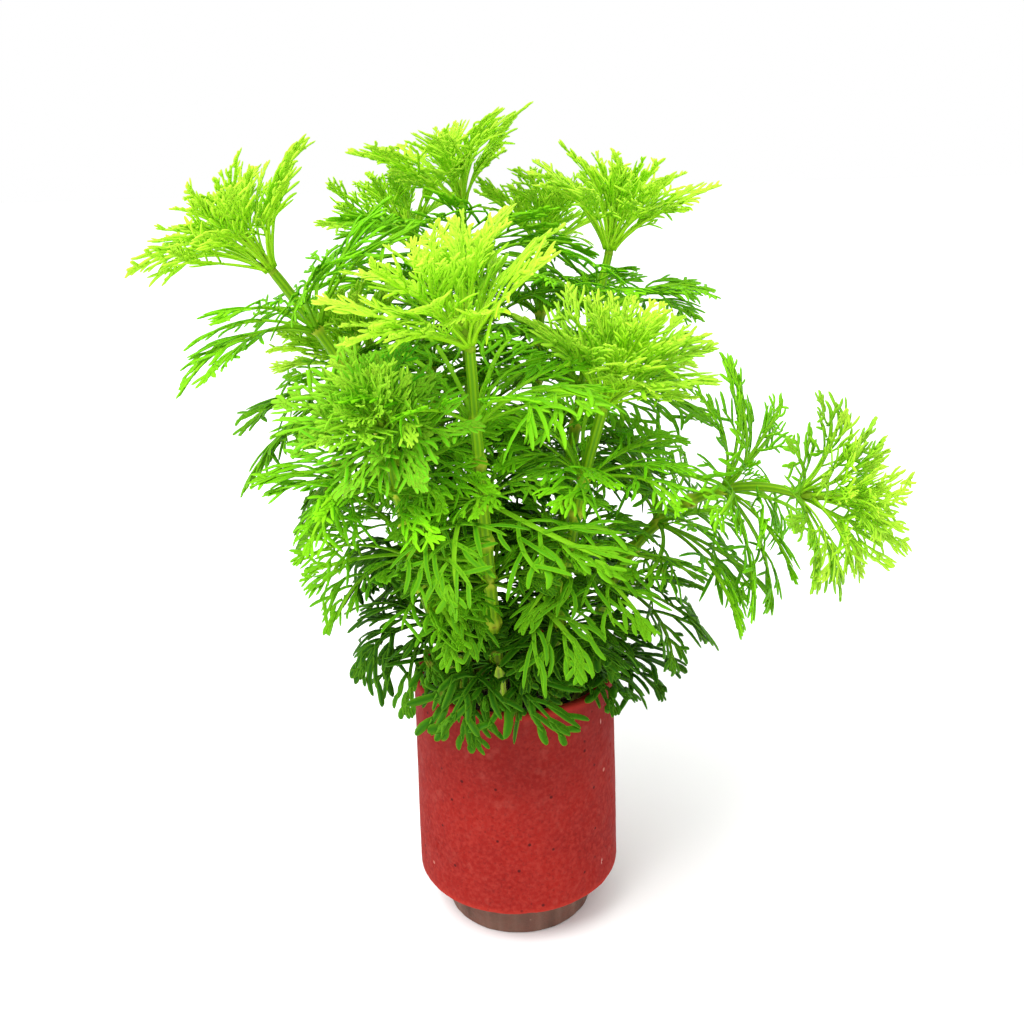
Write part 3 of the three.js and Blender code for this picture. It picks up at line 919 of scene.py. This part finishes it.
def on_rim(tips):
    """The tips, of which those that would stick in the pot's wall are lifted to lie on its rim."""
    reach = np.hypot(tips[:, 0], tips[:, 1])
    outside, above_wall = reach > rim_radius + mm, reach > rim_radius - 4 * mm
    least = np.select([outside, above_wall], [pot_top - 2 * mm, pot_top + mm], 0)
    return np.stack([tips[:, 0], tips[:, 1], np.maximum(tips[:, 2], least)], -1)


def make_whorl(stem, order, joint, seed):
    """Leaves from a joint to the tips of the CAD whorl's leaves, more between them, and a few buds.

    The lowest whorl's leaves are old and bend down onto the pot's rim.
    """
    rng = np.random.default_rng(seed)
    centre, axis = stem.at(joint), stem.along(joint)
    lowest = order == len(stem.joints)
    full = leaf_tips(f"whorl_{stem.name}_{order}", centre, axis)
    full = centre + (full - centre) * (1.2 if lowest else 1)
    reach = np.median(np.linalg.norm(full - centre, axis=1))
    between = ring_of_tips(rng, centre, axis, 6, max(reach * 0.92, 17 * mm), -12 if lowest else 22)
    small = ring_of_tips(rng, centre, axis, 3, 9 * mm, 52)
    tips = on_rim(np.concatenate([full, between, small]))
    grown = len(tips) - len(small)
    root = roots_for(tips, centre, axis, stem.radius(joint) * 0.8)
    droop = rng.uniform(28, 66, len(tips))
    droop[grown:] = 0
    arcs = leaf_arcs(rng, root, tips, axis, droop, (0.1, 0.45), (0.4, 2.0))
    # Lower whorls count as older, and their darker paint is partly painted shade.
    age = 0.2 * order + 0.3 * lowest + rng.uniform(-0.1, 0.14, len(tips))
    age[grown:] = 0.15
    pairs, lobes = (3, 2) if lowest else (4, 3)
    return make_leaves(f"leaves_{stem.name}_{order}", rng, arcs, np.clip(age, 0, 1), pairs, lobes)


for number, stem in enumerate(stems.values()):
    for order, joint in enumerate(stem.joints, 1):
        whorl = make_whorl(stem, order, joint, 100 + 10 * number + order)
        join_frame(whorl, f"whorl_{stem.name}_{order}", leaf_green)

# ---------------------------------------------------------------- the crowns
# The growing tip of each stem: whorls of young leaves that have not yet drawn apart stand one inside
# the other like a shuttlecock, the inner ones shorter and steeper, on a soft last stretch of stem.

SHOOT = 8 * mm  # how far the stem goes on inside the crown
SHOOT_SIDES = 16
# The shoot's rib value lays a faint painted highlight on it.
SHOOT_VALUES = {"height": 1.0, "joint": 0.3, "rib": 0.3}
CROWN_WHORLS = (
    # height on the shoot, leaves, length over the outermost's, rise in degrees, side rib pairs
    (0.1, 6, 0.87, 36, 5),
    (0.5, 7, 0.8, 50, 4),
    (0.85, 6, 0.62, 64, 4),
    (1.0, 5, 0.42, 78, 3),
)
CROWN_AGES = {"front_left": 0.42, "right": 0.3, "front_right": 0.12}  # the others' leaves are all new
GROWN_OLD = 0.2  # leaves of a crown older than this are cut less finely

young_green = leaf_paint(
    "young_green",
    blade=(0.44, 0.88, 0.002),
    shade=(0.27, 0.74, 0.001),
    tips=(0.64, 0.95, 0.07),
    old_and_shaded=(0.05, 0.42, 0.001),
)


def make_shoot(stem, centre, axis):
    """A round cone along the crown's axis, from 0.71 to 0.36 of the CAD stem's radius at its tip."""
    level, third = across(axis)
    angle = np.linspace(0, 2 * np.pi, SHOOT_SIDES, endpoint=False)
    share = np.array([-0.1, 0, 0.15, 0.3, 0.45, 0.6, 0.75, 0.9, 1.0, 1.05])
    size = stem.radius(1.0) * (0.71 - 0.35 * share)
    size[-1] *= 0.4
    spokes = np.cos(angle)[:, None] * level + np.sin(angle)[:, None] * third
    grid = centre + share[:, None, None] * SHOOT * axis + size[:, None, None] * spokes
    points = with_poles(grid)
    values = {key: np.full(len(points), value) for key, value in SHOOT_VALUES.items()}
    return make_piece(f"shoot_{stem.name}", points, closed_faces(len(share), SHOOT_SIDES), values)


def make_crown(stem, seed):
    """The CAD crown's leaves from the shoot's foot, then whorls of shorter leaves further up on it."""
    rng = np.random.default_rng(seed)
    node = f"crown_{stem.name}"
    centre = stem.at(1.0)
    axis = corners(node).mean(0) - centre
    axis = axis / np.linalg.norm(axis)
    tips = leaf_tips(node, centre, axis)
    size = np.median(np.linalg.norm(tips - centre, axis=1))
    grown = CROWN_AGES.get(stem.name, 0)
    size *= 1 - 0.3 * grown
    outermost = centre + (0.93 - 0.3 * grown) * (tips - centre)
    rings = [(centre + 0.5 * mm * axis, outermost, 5, 0.14 + grown)]
    for height, count, share, rise, pairs in CROWN_WHORLS:
        foot = centre + SHOOT * height * axis
        rings.append((foot, ring_of_tips(rng, foot, axis, count, size * share, rise), pairs, grown))
    pieces = []
    for index, (foot, ends, pairs, age) in enumerate(rings):
        root = roots_for(ends, foot, axis, 0.9 * mm)
        droop = (25, 60) if index < 2 else (5, 50)
        arcs = leaf_arcs(rng, root, ends, axis, rng.uniform(*droop, len(ends)), (0.1, 0.5), (0.0, 1.2))
        ages = np.clip(age + rng.uniform(-0.08, 0.1, len(ends)), 0, 1)
        pairs = pairs - 1 if grown > GROWN_OLD else pairs
        pieces.append(make_leaves(f"crown_leaves_{stem.name}_{index}", rng, arcs, ages, pairs, 3))
    return pieces, make_shoot(stem, centre, axis)


for number, stem in enumerate(stems.values()):
    pieces, shoot = make_crown(stem, 300 + number)
    for piece in pieces:
        join_frame(piece, f"crown_{stem.name}", young_green)
    join_frame(shoot, f"crown_{stem.name}", stem_skin)

# ---------------------------------------------------------------- studio
# A plain pale floor under soft light: a large square lamp in front on the left, a broad soft light from
# above, and an even pale sky.


def make_floor():
    """A flat square, 8 m wide so that its edge isn't seen from any side."""
    half = 4.0
    square = [(-half, -half, 0), (half, -half, 0), (half, half, 0), (-half, half, 0)]
    mesh = bpy.data.meshes.new("floor")
    mesh.from_pydata(square, [], [(0, 1, 2, 3)])
    floor = bpy.data.objects.new("floor", mesh)
    scene.collection.objects.link(floor)
    floor.data.materials.append(Paint("floor_white", 0.9, Base_Color=(0.94, 0.94, 0.94, 1)).material)
    return floor


def make_lamp(name, place, size, power):
    """A square area lamp at a place, aimed at the middle of the plant."""
    data = bpy.data.lights.new(name, "AREA")
    data.size = size
    data.energy = power
    lamp = bpy.data.objects.new(name, data)
    scene.collection.objects.link(lamp)
    back = np.array(place) - (0, 0, 0.11)  # from the plant's middle to the lamp
    back = back / np.linalg.norm(back)
    level, third = across(back)
    turn = Matrix(np.stack([level, third, back], 1).tolist()).to_4x4()
    lamp.matrix_world = Matrix.Translation(place) @ turn


make_floor()
make_lamp("key_lamp", (-0.8, -1.0, 1.8), 0.9, 32)

overhead = bpy.data.objects.new("overhead_light", bpy.data.lights.new("overhead_light", "SUN"))
overhead.data.energy = 1.2
overhead.data.angle = radians(70)
overhead.rotation_euler = (radians(12), radians(-8), 0)
scene.collection.objects.link(overhead)

world = bpy.data.worlds.new("studio")
scene.world = world
world.use_nodes = True
world.node_tree.nodes["Background"].inputs["Color"].default_value = (1, 1, 1, 1)
world.node_tree.nodes["Background"].inputs["Strength"].default_value = 1.0
scene.view_settings.view_transform = "Standard"

# The camera stands 23 cm in front of the pot's axis, looks down by 14 degrees and is rolled a little.
camera = bpy.data.objects.new("camera", bpy.data.cameras.new("camera"))
camera.data.lens = 39.13
camera.data.shift_y = -0.09
camera.data.clip_start = 0.01
tilt = Matrix.Rotation(radians(90 - 14), 4, "X") @ Matrix.Rotation(radians(-1.6), 4, "Z")
camera.matrix_world = Matrix.Translation((0.0012, -0.231, 0.1723)) @ tilt
scene.collection.objects.link(camera)
scene.camera = camera
